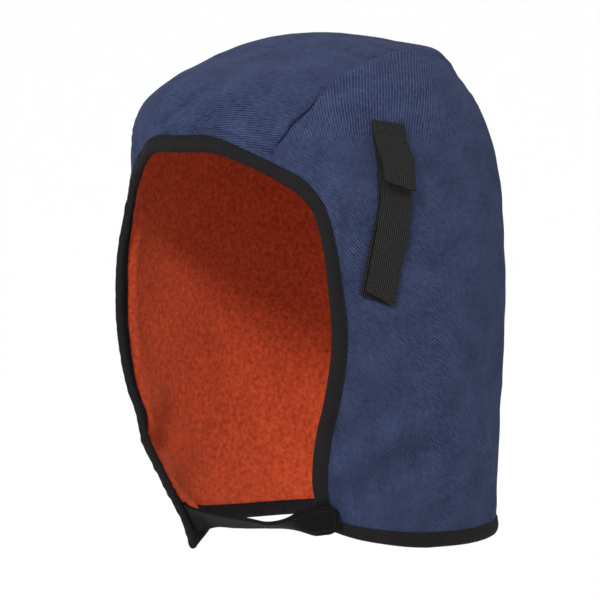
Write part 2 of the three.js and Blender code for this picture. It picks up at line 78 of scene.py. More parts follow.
def aimed(name, data, azimuth, elevation, distance):
    """Camera or lamp that looks at the target, from degrees round it and above it"""
    turn, rise = math.radians(azimuth), math.radians(elevation)
    flat = math.cos(rise)
    back = np.array([math.sin(turn) * flat, -math.cos(turn) * flat, math.sin(rise)])
    made = put(name, data)
    made.location = VIEW_TARGET + back * distance
    made.rotation_euler = Vector(back).to_track_quat("Z", "Y").to_euler()
    return made


lens = bpy.data.cameras.new("camera")
lens.sensor_width = SENSOR
lens.lens = SENSOR * VIEW_DISTANCE / (PICTURE_SIDE / PIXELS_PER_MM * MM)
lens.clip_start, lens.clip_end = CLIP_START, CLIP_END
camera = aimed("camera", lens, VIEW_AZIMUTH, VIEW_ELEVATION, VIEW_DISTANCE)
bpy.context.scene.camera = camera
print("lens", round(lens.lens, 1))

# %% [markdown]
# ## Sizes
# The same sizes and short tables as the solids, so that each finer piece lies where its
# solid does. Reaches, drops, widths and heights are shares of the sizes named here.

# %% Sizes
HOOD_HEIGHT = 250
HALF_WIDTH = 88
FRONT_REACH = 100
BACK_REACH = 102
DRAPE_LENGTH = 1.32 * HOOD_HEIGHT
SHELL_WALL = 1.2
LINING_WALL = 2.5
CLEARANCE = 0.3
CLOTH_STACK = SHELL_WALL + CLEARANCE + LINING_WALL
EDGE_STACK = 2.0
TAPE_WIDTH = 7
TAPE_WALL = 1.0
TAPE_END = 13
TAPE_CLEARANCE = 0.7
STRAP_WIDTH = 16
STRAP_WALL = 2
WEBBING_WIDTH = 19
WEBBING_WALL = 1.5


def table(columns, *rows):
    """A short table as one array for each named column"""
    return dict(zip(columns.split(), np.array(rows, float).T))


def chart_line(*rows):
    """A line over the hood, as degrees from its front and shares of its drape length"""
    return table("angle reach", *rows)


def joined(*tables):
    """Tables end to end, where each starts with the last row of the one before"""
    return {key: np.concatenate([tables[0][key]] + [t[key][1:] for t in tables[1:]])
            for key in tables[0]}


# %% [markdown]
# ## The form of the hood
# A hood is hard to shape point by point. Level sections do it better: each row says how
# low the section lies, how wide it is, how far it reaches to the front and back, and how
# square it is. A smooth curve through the rows gives every level between them.

# %% Sections
SECTIONS = table(
    "reach drop side front back power",
    (0.00, 0.000, 0.000, 0.00, 0.000, 2.00),
    (0.05, 0.006, 0.193, 0.17, 0.294, 2.00),
    (0.10, 0.018, 0.364, 0.30, 0.578, 2.00),
    (0.15, 0.036, 0.511, 0.41, 0.755, 2.00),
    (0.20, 0.060, 0.625, 0.54, 0.784, 2.05),
    (0.26, 0.096, 0.739, 0.75, 0.824, 2.10),
    (0.33, 0.152, 0.841, 0.93, 0.912, 2.15),
    (0.41, 0.232, 0.909, 0.99, 0.980, 2.20),
    (0.50, 0.336, 0.955, 1.06, 1.005, 2.25),
    (0.60, 0.460, 0.989, 1.27, 1.000, 2.30),
    (0.70, 0.588, 1.000, 1.22, 0.990, 2.30),
    (0.80, 0.720, 1.000, 0.98, 0.975, 2.30),
    (0.90, 0.856, 0.977, 0.76, 0.961, 2.30),
    (1.00, 1.000, 0.943, 0.55, 0.966, 2.30),
    (1.06, 1.088, 0.926, 0.46, 0.966, 2.30),
)
MIRRORED_ROWS = slice(3, 0, -1)
SIGN_PAST_CROWN = {
    "reach": -1, "drop": 1, "side": -1, "front": -1, "back": -1, "power": 1,
}
ALL_SECTIONS = {
    key: np.concatenate([SIGN_PAST_CROWN[key] * rows[MIRRORED_ROWS], rows])
    for key, rows in SECTIONS.items()
}


def through(keys, values, at):
    """Smooth curve through rows, whose slopes weigh both neighbours"""
    gaps = np.diff(keys)
    rates = np.diff(values) / gaps
    slopes = np.concatenate([rates[:1], rates[:1], rates[1:]])
    slopes[-1] = rates[-1]
    weighed = rates[:-1] * gaps[1:] + rates[1:] * gaps[:-1]
    slopes[1:-1] = weighed / (gaps[1:] + gaps[:-1])
    piece = np.clip(np.searchsorted(keys, at) - 1, 0, len(gaps) - 1)
    gap = gaps[piece]
    t = (at - keys[piece]) / gap
    return (
        (2 * t**3 - 3 * t**2 + 1) * values[piece]
        + (t**3 - 2 * t**2 + t) * gap * slopes[piece]
        + (3 * t**2 - 2 * t**3) * values[piece + 1]
        + (t**3 - t**2) * gap * slopes[piece + 1]
    )


def form(angle, reach):
    """Smooth form of the hood, for angles in radians from the wearer's front"""
    at = {key: through(ALL_SECTIONS["reach"], rows, reach)
          for key, rows in ALL_SECTIONS.items() if key != "reach"}
    sine, cosine = np.sin(angle), np.cos(angle)
    bend = 2 / at["power"]
    depth = np.where(cosine > 0, -FRONT_REACH * at["front"], BACK_REACH * at["back"])
    return np.stack([
        HALF_WIDTH * at["side"] * np.sign(sine) * np.abs(sine) ** bend,
        depth * np.abs(cosine) ** bend,
        CLOTH_STACK - HOOD_HEIGHT * at["drop"],
    ], -1)


# %% [markdown]
# A chart lays the cloth out flat, with the crown in its middle, like a map of the north
# pole. Seams and edges are drawn on the chart, and the form above lifts them into space.

# %% Chart
CHART_STEP = 0.002


def chart(angle, reach, side=1):
    """Spot on the chart, from degrees from the front and a reach"""
    turn = np.radians(angle) * side
    return np.stack([reach * np.sin(turn), -reach * np.cos(turn)], -1)


def angle_of(spots):
    return np.arctan2(spots[..., 0], -spots[..., 1])


def reach_of(spots):
    return np.hypot(spots[..., 0], spots[..., 1])


def unit(vectors):
    return vectors / np.linalg.norm(vectors, axis=-1, keepdims=True)


def steps_of(points):
    """Length of each step along a row of points"""
    return np.linalg.norm(np.diff(points, axis=0), axis=1)


def run_of(steps):
    """Running length at each point, from the steps between them"""
    return np.concatenate([[0], np.cumsum(steps)])


def smooth_cloth(spots):
    return form(angle_of(spots), reach_of(spots))


def normals_of(surface, spots):
    """Outward normals of a surface that is a function of chart spots"""
    a, b = np.array([CHART_STEP, 0]), np.array([0, CHART_STEP])
    across = surface(spots + a) - surface(spots - a)
    along = surface(spots + b) - surface(spots - b)
    return unit(np.cross(across, along))


# %% [markdown]
# ## Folds
# Cloth over a head never lies quite smooth. The main folds are the ones that the solids
# have, but two of them are lower here, and the one at the right front corner is deeper.
# Each is a soft ridge or valley between two places, and its width and height are shares
# of the half width. The binding also draws the edge in over the forehead.

# %% Main folds
FOREHEAD_DRAW = table(
    "angle depth",
    (0, 0.060), (15, 0.084), (30, 0.098), (42, 0.084), (50, 0.051),
    (58, 0.017), (66, 0.003), (75, 0), (180, 0),
)
DRAW_SPREAD = 0.07
DRAWN_ROWS = 7
FULL_WIDTH_REACH = 0.4
FOLD_COLUMNS = "side from_angle to_angle from_reach to_reach width height"
MAIN_FOLDS = table(
    FOLD_COLUMNS,
    (0, 128, 142, 0.160, 0.200, 0.20, 0.016),
    (0, 64, 69, 0.550, 0.640, 0.14, -0.023),
    (0, 53, 68, 0.860, 0.838, 0.12, -0.030),
    (0, 50, 62, 0.895, 0.884, 0.11, 0.024),
    (1, 51, 74, 0.934, 0.906, 0.11, -0.028),
    (1, 74, 90, 0.906, 0.862, 0.11, -0.024),
    (-1, 50, 80, 0.960, 0.915, 0.12, -0.028),
    (-1, 48, 66, 1.030, 1.050, 0.17, -0.175),
    (1, 104, 124, 0.830, 0.960, 0.11, 0.022),
    (1, 118, 132, 0.760, 0.930, 0.12, -0.020),
    (-1, 110, 128, 0.800, 0.950, 0.12, -0.022),
    (-1, 18, 30, 0.330, 0.385, 0.12, -0.022),
    (-1, 40, 55, 0.190, 0.270, 0.11, 0.005),
    (1, 24, 40, 0.362, 0.395, 0.10, -0.018),
    (0, 22, 52, 0.392, 0.425, 0.22, 0.030),
    (0, 165, 172, 0.420, 0.560, 0.16, -0.020),
)


def lay_flat(angle, reach):
    """Place laid out flat, in mm: round the hood, and down from the crown"""
    around = HALF_WIDTH * angle * np.minimum(reach / FULL_WIDTH_REACH, 1)
    return np.stack(np.broadcast_arrays(around, DRAPE_LENGTH * reach), -1)


def rows_of(folds):
    """One small dict for each row of a table"""
    return [dict(zip(folds, row)) for row in zip(*folds.values())]


def along_and_off(row, angle, reach):
    """Share along a fold's line, and signed distance off it in mm"""
    side = np.where(angle < 0, -1, 1) if row["side"] == 0 else row["side"]
    start = lay_flat(math.radians(row["from_angle"]), row["from_reach"])
    run = lay_flat(math.radians(row["to_angle"]), row["to_reach"]) - start
    here = lay_flat(angle * side, reach) - start
    share = here @ run / (run @ run)
    nearest = np.clip(share, 0, 1)[..., None] * run
    away = np.linalg.norm(here - nearest, axis=-1)
    below = np.sign(run[0] * here[..., 1] - run[1] * here[..., 0])
    return share, away * below


def soft_folds(folds, angle, reach):
    total = np.zeros(np.shape(reach))
    for row in rows_of(folds):
        _, off = along_and_off(row, angle, reach)
        spread = row["width"] * HALF_WIDTH
        total += row["height"] * HALF_WIDTH * np.exp(-(off / spread) ** 2)
    return total


# %% [markdown]
# The outlines of the panels: the face opening, the hem, and the seams between the centre
# strip and the sides. The right front corner hangs lower than the left one.

# %% Outlines
FOREHEAD_EDGE = chart_line((0, 0.412), (14, 0.413), (28, 0.434), (39, 0.458))
CHEEK_EDGE = chart_line(
    (39.0, 0.458), (49.0, 0.489), (57.0, 0.540), (61.0, 0.585),
    (62.2, 0.640), (60.5, 0.720), (52.0, 0.808), (41.5, 0.897),
)
CORNER_LEFT = chart_line((41.5, 0.897), (38.0, 0.940), (38.5, 0.988))
CORNER_RIGHT = chart_line((41.5, 0.897), (37.5, 0.940), (35.0, 0.995), (31.5, 1.042))
HEM_LEFT = chart_line(
    (38.5, 0.988), (51, 1.001), (66, 1.009), (90, 1.017), (120, 1.020), (150, 1.016),
)
HEM_RIGHT = chart_line(
    (31.5, 1.042), (38, 1.042), (46, 1.030), (58, 1.016), (74, 1.014), (95, 1.020),
    (120, 1.020), (150, 1.016),
)
NAPE_HEM = chart_line((150, 1.016), (165, 1.014), (180, 1.013))
TOP_SEAM = chart_line(
    (39.0, 0.458), (38.5, 0.410), (43.0, 0.385), (51.5, 0.329), (60.0, 0.262),
    (72.0, 0.212), (90.0, 0.176), (112.0, 0.162), (135.0, 0.195),
)
BACK_SEAM = chart_line(
    (135, 0.195), (143, 0.270), (147, 0.380), (149, 0.600), (150, 0.800), (150, 1.016),
)


def main_relief(spots):
    """Height of the main folds less the draw of the binding, in mm"""
    angle, reach = angle_of(spots), reach_of(spots)
    turn = np.abs(np.degrees(angle))
    rows = joined(FOREHEAD_EDGE, CHEEK_EDGE)
    turns, reaches = rows["angle"][:DRAWN_ROWS], rows["reach"][:DRAWN_ROWS]
    edge = through(turns, reaches, np.minimum(turn, turns[-1]))
    nearness = np.exp(-(((reach - edge) / DRAW_SPREAD) ** 2))
    depth = through(FOREHEAD_DRAW["angle"], FOREHEAD_DRAW["depth"], turn)
    drawn = HALF_WIDTH * np.maximum(depth, 0) * nearness
    return soft_folds(MAIN_FOLDS, angle, reach) - drawn


def folded_cloth(spots):
    lift = main_relief(spots)[..., None]
    return smooth_cloth(spots) + normals_of(smooth_cloth, spots) * lift


def place(spots, stand):
    """Places a given stand off the shell's outer face"""
    stand = np.asarray(stand, float)[..., None]
    return folded_cloth(spots) + normals_of(folded_cloth, spots) * stand


# %% [markdown]
# ## Fine grids of cloth
# Each panel is a grid between four outlines, blended inwards from its edges. It is about
# ten times finer than the solid's, so that puckers along the seams can be real shape.

# %% Grids
ROWS_DOWN = 231
COLUMNS_ACROSS = 151
CROWN_COLUMNS = 108
SEAM_STEPS = 8
SEAM_FINER = 0.78


def stepped(count, seams):
    """Shares from 0 to 1, with finer steps by a seam at the start or the end"""
    index = np.arange(count - 1)
    steps = np.ones(count - 1)
    if "start" in seams:
        steps -= SEAM_FINER * np.exp(-(index / SEAM_STEPS) ** 2)
    if "end" in seams:
        steps -= SEAM_FINER * np.exp(-(index[::-1] / SEAM_STEPS) ** 2)
    return run_of(steps) / steps.sum()


def outline(rows, shares, side=1):
    """Spots on an outline, at shares of the length of the real edge"""
    lengths = run_of(steps_of(smooth_cloth(chart(rows["angle"], rows["reach"]))))
    at = shares * lengths[-1]
    angle, reach = (through(lengths, rows[key], at) for key in ("angle", "reach"))
    return chart(angle, reach, side)


def shares_of(line):
    """Share of an outline's own length at each of its spots"""
    steps = steps_of(line)
    return run_of(steps) / steps.sum()


def patch(top, bottom, left, right):
    """Grid between four outlines: top and bottom run across, left and right run down"""
    u = shares_of(top)[None, :, None]
    v = shares_of(left)[:, None, None]
    upper = (1 - u) * (1 - v) * top[0] + u * (1 - v) * top[-1]
    lower = (1 - u) * v * bottom[0] + u * v * bottom[-1]
    between = (1 - v) * top[None] + v * bottom[None]
    return between + (1 - u) * left[:, None] + u * right[:, None] - upper - lower


across_side = stepped(COLUMNS_ACROSS, ("end",))
down_side = stepped(ROWS_DOWN, ("start",))
seam_top = {side: outline(TOP_SEAM, across_side, side) for side in (1, -1)}
seam_back = {side: outline(BACK_SEAM, down_side, side) for side in (1, -1)}


def side_grid(side):
    corner, hem = (CORNER_LEFT, HEM_LEFT) if side > 0 else (CORNER_RIGHT, HEM_RIGHT)
    cheek = outline(joined(CHEEK_EDGE, corner), down_side, side)
    bottom = outline(hem, across_side, side)
    return patch(seam_top[side], bottom, cheek, seam_back[side])


def crown_grid():
    half = CROWN_COLUMNS // 2 + 1
    forehead = outline(FOREHEAD_EDGE, stepped(half, ("end",)))
    nape = outline(NAPE_HEM, stepped(half, ("start",)))[::-1]
    both = [np.concatenate([row[:0:-1] * [-1, 1], row]) for row in (forehead, nape)]
    right, left = [np.concatenate([seam_top[s], seam_back[s][1:]]) for s in (-1, 1)]
    return patch(*both, right, left)


GRIDS = {"left": side_grid(1), "right": side_grid(-1), "crown": crown_grid()}
print("grids", {name: grid.shape[:2] for name, grid in GRIDS.items()})

# %% [markdown]
# ## Small relief
# A few creases are sharp on one side, as where cloth laps over itself by the forehead
# seam. Seams sink in, with a narrow slit along them that gapes above the forehead. The
# cloth puckers beside seams and binding, because the thread draws it up, and it is
# pressed thinner under the tape. Low waves keep the panels from looking like plastic.

# %% Creases, puckers and waves
CREASES = table(
    "side from_angle to_angle from_reach to_reach steep gentle height",
    (1, 18, 41, 0.372, 0.416, 1.3, 8.0, 1.9),
    (1, -13, 8, 0.393, 0.290, 2.4, 3.0, -2.3),
    (1, -19, -5, 0.388, 0.275, 3.2, 2.6, 1.8),
    (1, -20, 3, 0.398, 0.362, 2.6, 3.4, 1.5),
    (1, 3, 18, 0.362, 0.374, 2.6, 3.4, 1.4),
    (1, -30, -20, 0.262, 0.300, 3.0, 3.0, -0.9),
    (-1, 26, 36, 0.386, 0.404, 2.0, 8.0, 0.8),
    (1, 49, 71, 0.882, 0.853, 4.5, 6.0, -2.1),
    (1, 48, 62, 0.905, 0.915, 5.0, 5.0, 1.4),
    (1, 49, 74, 0.957, 0.925, 4.5, 6.0, -1.8),
    (1, 74, 92, 0.925, 0.874, 4.5, 6.0, -1.7),
    (1, 62, 68, 0.535, 0.637, 4.0, 6.0, -1.2),
    (1, 102, 122, 0.820, 0.960, 3.0, 3.0, 1.0),
    (1, 96, 112, 0.800, 0.930, 5.0, 4.0, -1.1),
    (1, 112, 128, 0.780, 0.960, 4.0, 5.0, -1.1),
    (1, 92, 100, 0.560, 0.700, 6.0, 6.0, -0.8),
    (-1, 70, 100, 0.850, 0.900, 5.0, 12.0, 1.0),
)
SEAM_HALF_WIDTH = 1.7
SEAM_ROLL_AWAY = 3.0
SLIT_HALF_WIDTH = 0.45
SLIT_WANDER = 0.6
SLIT_WAVE = 3.7
SEAM = table(
    "along dip roll slit",
    (0, 0.7, 0.5, 0.5), (14, 0.7, 0.5, 0.6), (20, 0.8, 0.5, 1.5), (44, 0.8, 0.5, 1.5),
    (52, 0.5, 0.4, 0.3), (75, 0.3, 0.2, 0.15), (900, 0.3, 0.2, 0.15),
)
PUCKER_PITCH = 7.5
PUCKER_HEIGHT = 0.20
PUCKER_REACH = 5.5
PUCKER_WANDER = ((2.2, 13), (1.4, 5.3))
GATHER_TURNS = (7.0, 11.0, 17.0)
GATHER_HEIGHT = 0.34
GATHER_REACH = 13
GATHER_START = 6
GATHER_RISE = 2
PINCH_START = 6.4
WAVE_SEED = 7
WAVE_COUNT = 14
WAVES = table("length height", (46, 0.34), (19, 0.13), (9, 0.05))
TAPE_COVER = 5
TAB_TURN = 77.2
TAB_TURNS = 9
TAB_MIDDLE = 0.51
TAB_REACHES = 0.19
TAB_FLATNESS = 0.9


def creases(angle, reach):
    total = np.zeros(np.shape(reach))
    for row in rows_of(CREASES):
        share, off = along_and_off(row, angle, reach)
        fade = np.exp(-((share - 0.5) / 0.5) ** 6)
        spread = np.where(off > 0, row["steep"], row["gentle"])
        total += row["height"] * fade * np.exp(-(off / spread) ** 2)
    return total


def waves(places):
    """Low random waves in space, so that neighbouring pieces share them"""
    random = np.random.default_rng(WAVE_SEED)
    total = np.zeros(places.shape[:-1])
    for length, height in zip(WAVES["length"], WAVES["height"]):
        ways = unit(random.normal(size=(WAVE_COUNT, 3)))
        starts = random.uniform(0, 2 * math.pi, WAVE_COUNT)
        turns = places @ ways.T * (2 * math.pi / length) + starts
        total += height * np.sin(turns).sum(-1) / math.sqrt(WAVE_COUNT)
    return total


def lengths_from_start(places, axis):
    """Running length over a grid of places along one axis"""
    steps = np.linalg.norm(np.diff(places, axis=axis), axis=-1)
    first = np.zeros_like(np.take(steps, [0], axis=axis))
    return np.cumsum(np.concatenate([first, steps], axis), axis)


def seam_relief(away, along, way=1):
    """Sunk seam with slit, rolled edge and puckers, at distances off and along it"""
    dip, roll, slit = (np.interp(along, SEAM["along"], SEAM[key])
                       for key in ("dip", "roll", "slit"))
    from_slit = away - way * SLIT_WANDER * np.sin(along / SLIT_WAVE)
    sunk = -dip * np.exp(-(away / SEAM_HALF_WIDTH) ** 2)
    sunk -= slit * np.exp(-(from_slit / SLIT_HALF_WIDTH) ** 2)
    rolled = roll * np.exp(-((away - SEAM_ROLL_AWAY) / SEAM_HALF_WIDTH) ** 2)
    wander = along
    for shift, length in PUCKER_WANDER:
        wander = wander + shift * np.sin(along / length)
    puckered = PUCKER_HEIGHT * np.sin(2 * math.pi * wander / PUCKER_PITCH)
    return sunk + rolled + puckered * np.exp(-(away / PUCKER_REACH) ** 2)


def gathers(away, angle):
    """Short folds square to the binding, which start at its edge and fade"""
    turn = np.degrees(np.abs(angle))
    ripple = sum(np.sin(2 * math.pi * turn / pitch + pitch) for pitch in GATHER_TURNS)
    rise = np.clip((away - GATHER_START) / GATHER_RISE, 0, 1)
    past = np.maximum(away - TAPE_WIDTH, 0)
    return GATHER_HEIGHT * ripple * rise * np.exp(-(past / GATHER_REACH) ** 2)


def from_edge(name):
    """Distance of each grid spot from the bound edges of its panel"""
    down = lengths_from_start(BASES[name], 0)
    first = down if name == "crown" else lengths_from_start(BASES[name], 1)
    return np.minimum(first, down[-1:] - down)


def edge_pinch(name):
    """How much thinner the stack gets where the tape is sewn through it"""
    past = np.clip((from_edge(name) - PINCH_START) / TAPE_WIDTH, 0, 1)
    return (CLOTH_STACK - EDGE_STACK) * (1 - past * past * (3 - 2 * past))


def shell_relief(name):
    """Fine height of a shell panel over the main folds, one value for each grid spot"""
    grid = GRIDS[name]
    base = BASES[name]
    angle, reach = angle_of(grid), reach_of(grid)
    down, across = lengths_from_start(base, 0), lengths_from_start(base, 1)
    back = across[:, -1:] - across
    if name == "crown":
        seams = seam_relief(across, down) + seam_relief(back, down)
        edges = gathers(down, angle)
    else:
        past_top = across[0, -1] + down
        seams = seam_relief(down, across, -1) + seam_relief(back, past_top, -1)
        edges = gathers(across, angle)
    free = np.clip((from_edge(name) - TAPE_COVER) / TAPE_WIDTH, 0, 1)
    from_tab = np.abs(np.degrees(np.abs(angle)) - TAB_TURN) / TAB_TURNS
    from_middle = np.abs(reach - TAB_MIDDLE) / TAB_REACHES
    under_tab = TAB_FLATNESS * np.exp(-from_tab**6 - from_middle**8)
    height = creases(angle, reach) + waves(base) + seams + edges
    return height * free * (1 - under_tab)


BASES = {name: folded_cloth(grid) for name, grid in GRIDS.items()}
RELIEFS = {name: shell_relief(name) for name in GRIDS}
for name, relief in RELIEFS.items():
    print(f"{name}: fine relief from {relief.min():.2f} to {relief.max():.2f} mm")

# %% [markdown]
# ## From grids to sewn walls
# A wall of cloth is a closed body: an outer face, an inner face and a rim. Grids that
# share a seam are merged there, so the lining is one piece without cracks.

# %% Mesh helpers
SHARP = math.radians(40)
MERGE_DIGITS = 7


def new_piece(name, points, faces, face_uvs, material):
    """Object at the origin, from points in mm, faces and a uv for each face corner"""
    mesh = bpy.data.meshes.new(name)
    mesh.from_pydata((points * MM).tolist(), [], faces)
    layer = mesh.uv_layers.new(name="cloth")
    layer.data.foreach_set("uv", (face_uvs * MM).astype(np.float32).ravel())
    mesh.materials.append(material)
    mesh.shade_smooth()
    mesh.set_sharp_from_angle(angle=SHARP)
    mesh.validate()
    print(name, len(mesh.vertices), "vertices,", len(mesh.polygons), "faces")
    return put(name, mesh)


def sewn_wall(name, grids, reliefs, uvs, outer, inner, material, pinches=None):
    """Closed wall between two stands, sewn from grids that share their seam spots"""
    pinches = pinches or [np.zeros(grid.shape[:2]) for grid in grids]
    spots = np.concatenate([grid.reshape(-1, 2) for grid in grids])
    _, first, index = np.unique(np.round(spots, MERGE_DIGITS), axis=0, return_index=True,
                                return_inverse=True)
    index = index.ravel()
    relief, pinch = (np.concatenate([part.ravel() for part in parts])[first]
                     for parts in (reliefs, pinches))
    uv = np.concatenate([flat.reshape(-1, 2) for flat in uvs])[first]
    quads, start = [], 0
    for grid in grids:
        rows, columns = grid.shape[:2]
        at = index[start:start + rows * columns].reshape(rows, columns)
        start += rows * columns
        corners = [at[:-1, :-1], at[:-1, 1:], at[1:, 1:], at[1:, :-1]]
        a, b = grid[0, 1] - grid[0, 0], grid[1, 0] - grid[0, 0]
        order = corners if a[0] * b[1] - a[1] * b[0] > 0 else corners[::-1]
        quads.append(np.stack(order, -1).reshape(-1, 4))
    quads = np.concatenate(quads)
    count = len(first)
    edges = np.stack([quads, np.roll(quads, -1, 1)], -1).reshape(-1, 2)
    ways = edges[:, 0] * count + edges[:, 1]
    rim = edges[~np.isin(ways, edges[:, 1] * count + edges[:, 0])]
    sides = np.stack([rim[:, 0], rim[:, 0] + count, rim[:, 1] + count, rim[:, 1]], -1)
    faces = np.concatenate([quads, quads[:, ::-1] + count, sides])
    base, normal = folded_cloth(spots[first]), normals_of(folded_cloth, spots[first])
    stands = outer + relief, inner + relief + pinch
    layers = [base + normal * stand[:, None] for stand in stands]
    both_uv = np.concatenate([uv, uv])
    face_uvs = both_uv[faces.ravel()]
    return new_piece(name, np.concatenate(layers), faces.tolist(), face_uvs, material)


def signed_volume(points, quads):
    a, b, c, d = (points[quads[:, k]] for k in range(4))
    return (a * (np.cross(b, c) + np.cross(c, d))).sum()


def strip(name, loops, material):
    """Closed bar through loops of equal length, capped at both ends"""
    count, size = loops.shape[:2]
    points = loops.reshape(-1, 3)
    i, k = np.meshgrid(np.arange(count - 1), np.arange(size), indexing="ij")
    along = run_of(steps_of(loops.mean(1)))
    wrapped = np.concatenate([loops, loops[:, :1]], 1)
    around = run_of(steps_of(wrapped.mean(0)))
    corners = ((0, 0), (0, 1), (1, 1), (1, 0))
    quads = np.stack([(i + p) * size + (k + q) % size for p, q in corners], -1)
    uvs = np.stack([np.stack([along[i + p], around[k + q]], -1) for p, q in corners], 2)
    quads, uvs = quads.reshape(-1, 4), uvs.reshape(-1, 4, 2)
    turned = signed_volume(points, quads) < 0
    if turned:
        quads, uvs = quads[:, ::-1], uvs[:, ::-1]
    cap = list(range(size))
    last = [(count - 1) * size + k for k in cap]
    caps = [cap, last[::-1]] if turned else [cap[::-1], last]
    section = loops[0] - loops[0].mean(0)
    flat = np.stack([section @ unit(loops[0, 1] - loops[0, 0]), section[:, 2]], -1)
    cap_uvs = np.concatenate([flat, flat])
    all_uvs = np.concatenate([uvs.reshape(-1, 2), cap_uvs])
    return new_piece(name, points, quads.tolist() + caps, all_uvs, material)

# %% [markdown]
# ## Finishes
# Every finish is a relief of a few nodes, on the object's coordinates or on the cloth's
# own map, whose unit is the metre. Twill has slanting ribs, fleece a soft random pile,
# and webbing cords along it. The relief gives a small bump, and the colour follows it.

# %% Node helpers
SHEEN_ROUGHNESS = 0.5
WAVE_UNITS = 20


def node_adder(tree):
    """Function that adds a node to a tree; sockets have names, or numbers as in _0"""
    def node(kind, settings=None, **sockets):
        made = tree.nodes.new(kind)
        for key, value in (settings or {}).items():
            setattr(made, key, value)
        for key, value in sockets.items():
            socket = made.inputs[int(key[1:]) if key[1:].isdigit() else key]
            if isinstance(value, bpy.types.NodeSocket):
                tree.links.new(value, socket)
            else:
                socket.default_value = value
        return made

    return node


def new_shader(name, roughness, specular, sheen=0.0, sheen_tint=(1, 1, 1, 1)):
    """Material with fixed gloss and sheen, and its shader"""
    material = bpy.data.materials.new(name)
    material.use_nodes = True
    shader = material.node_tree.nodes["Principled BSDF"]
    looks = {
        "Roughness": roughness, "Specular IOR Level": specular, "Sheen Weight": sheen,
        "Sheen Roughness": SHEEN_ROUGHNESS, "Sheen Tint": sheen_tint,
    }
    for key, value in looks.items():
        shader.inputs[key].default_value = value
    return material, shader


def new_finish(name, relief, tones, dark, light, depth, **looks):
    """Material from a relief: its tones run from dark to light, its bump is depth mm"""
    material, shader = new_shader(name, **looks)
    node = node_adder(material.node_tree)
    height, tone = relief(node)
    share = node("ShaderNodeMapRange", Value=tone, _1=tones[0], _2=tones[1]).outputs[0]
    mix = node("ShaderNodeMix", {"data_type": "RGBA"}, _0=share, _6=dark, _7=light)
    bump = node("ShaderNodeBump", Height=height, Distance=depth * MM)
    material.node_tree.links.new(mix.outputs[2], shader.inputs["Base Color"])
    material.node_tree.links.new(bump.outputs["Normal"], shader.inputs["Normal"])
    return material


def cloth_map(node):
    return node("ShaderNodeUVMap", {"uv_map": "cloth"}).outputs["UV"]


def ribs(node, at, pitch, distortion, bands="X"):
    """Bands that repeat every pitch, in mm"""
    scale = 2 * math.pi / (WAVE_UNITS * pitch * MM)
    return node("ShaderNodeTexWave", {"bands_direction": bands}, Vector=at, Scale=scale,
                Distortion=distortion, Detail=1.0).outputs["Fac"]


def noise(node, at, scale, detail, dimensions="2D", roughness=0.5):
    return node("ShaderNodeTexNoise", {"noise_dimensions": dimensions}, Vector=at,
                Scale=scale, Detail=detail, Roughness=roughness).outputs["Fac"]


def plus(node, a, b, share):
    """a + share * b"""
    return node("ShaderNodeMath", {"operation": "MULTIPLY_ADD"}, _0=b, _1=share,
                _2=a).outputs[0]


# %% [markdown]
# The twill is navy cotton with fine slanting ribs and uneven yarns. A slow noise varies
# its colour a little, as dyed cotton does where it is rubbed. The fleece is a short
# orange-red pile. It has two sizes of random tufts, and sheen, as light is caught by the
# ends of the fibres.

# %% Twill and fleece
TWILL_PITCH = 1.05
TWILL_SLANT = math.radians(38)
TWILL_DISTORTION = 0.6
SLUB_STRETCH = (1.0, 0.35, 1.0)
SLUB_SCALE = 900.0
SLUB_SHARE = 1.3
RUB_SCALE = 60.0
TUFT_SCALE = 420.0
TUFT_ROUGHNESS = 0.6
FIBRE_SCALE = 1600.0
FIBRE_SHARE = 0.5


def twill_relief(node):
    cloth = cloth_map(node)
    slant = (0, 0, TWILL_SLANT)
    slanted = node("ShaderNodeMapping", Vector=cloth, Rotation=slant).outputs[0]
    stretched = node("ShaderNodeMapping", Vector=slanted, Scale=SLUB_STRETCH).outputs[0]
    ribbing = ribs(node, slanted, TWILL_PITCH, TWILL_DISTORTION)
    height = plus(node, ribbing, noise(node, stretched, SLUB_SCALE, 2.0), SLUB_SHARE)
    return height, plus(node, height, noise(node, cloth, RUB_SCALE, 4.0), 1.0)


def fleece_relief(node):
    at = node("ShaderNodeTexCoord").outputs["Object"]
    tufts = noise(node, at, TUFT_SCALE, 3.0, "3D", TUFT_ROUGHNESS)
    height = plus(node, tufts, noise(node, at, FIBRE_SCALE, 2.0, "3D"), FIBRE_SHARE)
    return height, height


twill = new_finish(
    "navy_twill", twill_relief, tones=(0.75, 2.45), depth=0.25,
    dark=(0.0075, 0.0110, 0.029, 1), light=(0.043, 0.056, 0.116, 1),
    roughness=0.95, specular=0.04, sheen=0.03, sheen_tint=(0.45, 0.55, 0.9, 1),
)
fleece = new_finish(
    "red_fleece", fleece_relief, tones=(0.45, 1.05), depth=0.7,
    dark=(0.20, 0.020, 0.008, 1), light=(0.52, 0.070, 0.024, 1),
    roughness=1.0, specular=0.05, sheen=0.25, sheen_tint=(1, 0.30, 0.15, 1),
)
print([material.name for material in (twill, fleece)])

# %% [markdown]
# The edge tape and the chin band are ribbed across, and the webbing has cords along it.
# On a strip the map runs along it first and round it second, so bands along the first
# direction are ribs across.

# %% Tape, band and webbing
RIB_DISTORTION = 0.4
SPECK_SCALE = 1100.0
TONE_SHARES = (0.3, 0.7)
WEAVE_SPECULAR = 0.08


def ribbed(name, dark, light, pitch, depth, roughness, speckle=0.5, bands="X"):
    def relief(node):
        cloth = cloth_map(node)
        ribbing = ribs(node, cloth, pitch, RIB_DISTORTION, bands)
        height = plus(node, ribbing, noise(node, cloth, SPECK_SCALE, 2.0), speckle)
        return height, height

    tones = [share * (1.0 + speckle) for share in TONE_SHARES]
    return new_finish(name, relief, tones, dark, light, depth,
                      roughness=roughness, specular=WEAVE_SPECULAR)


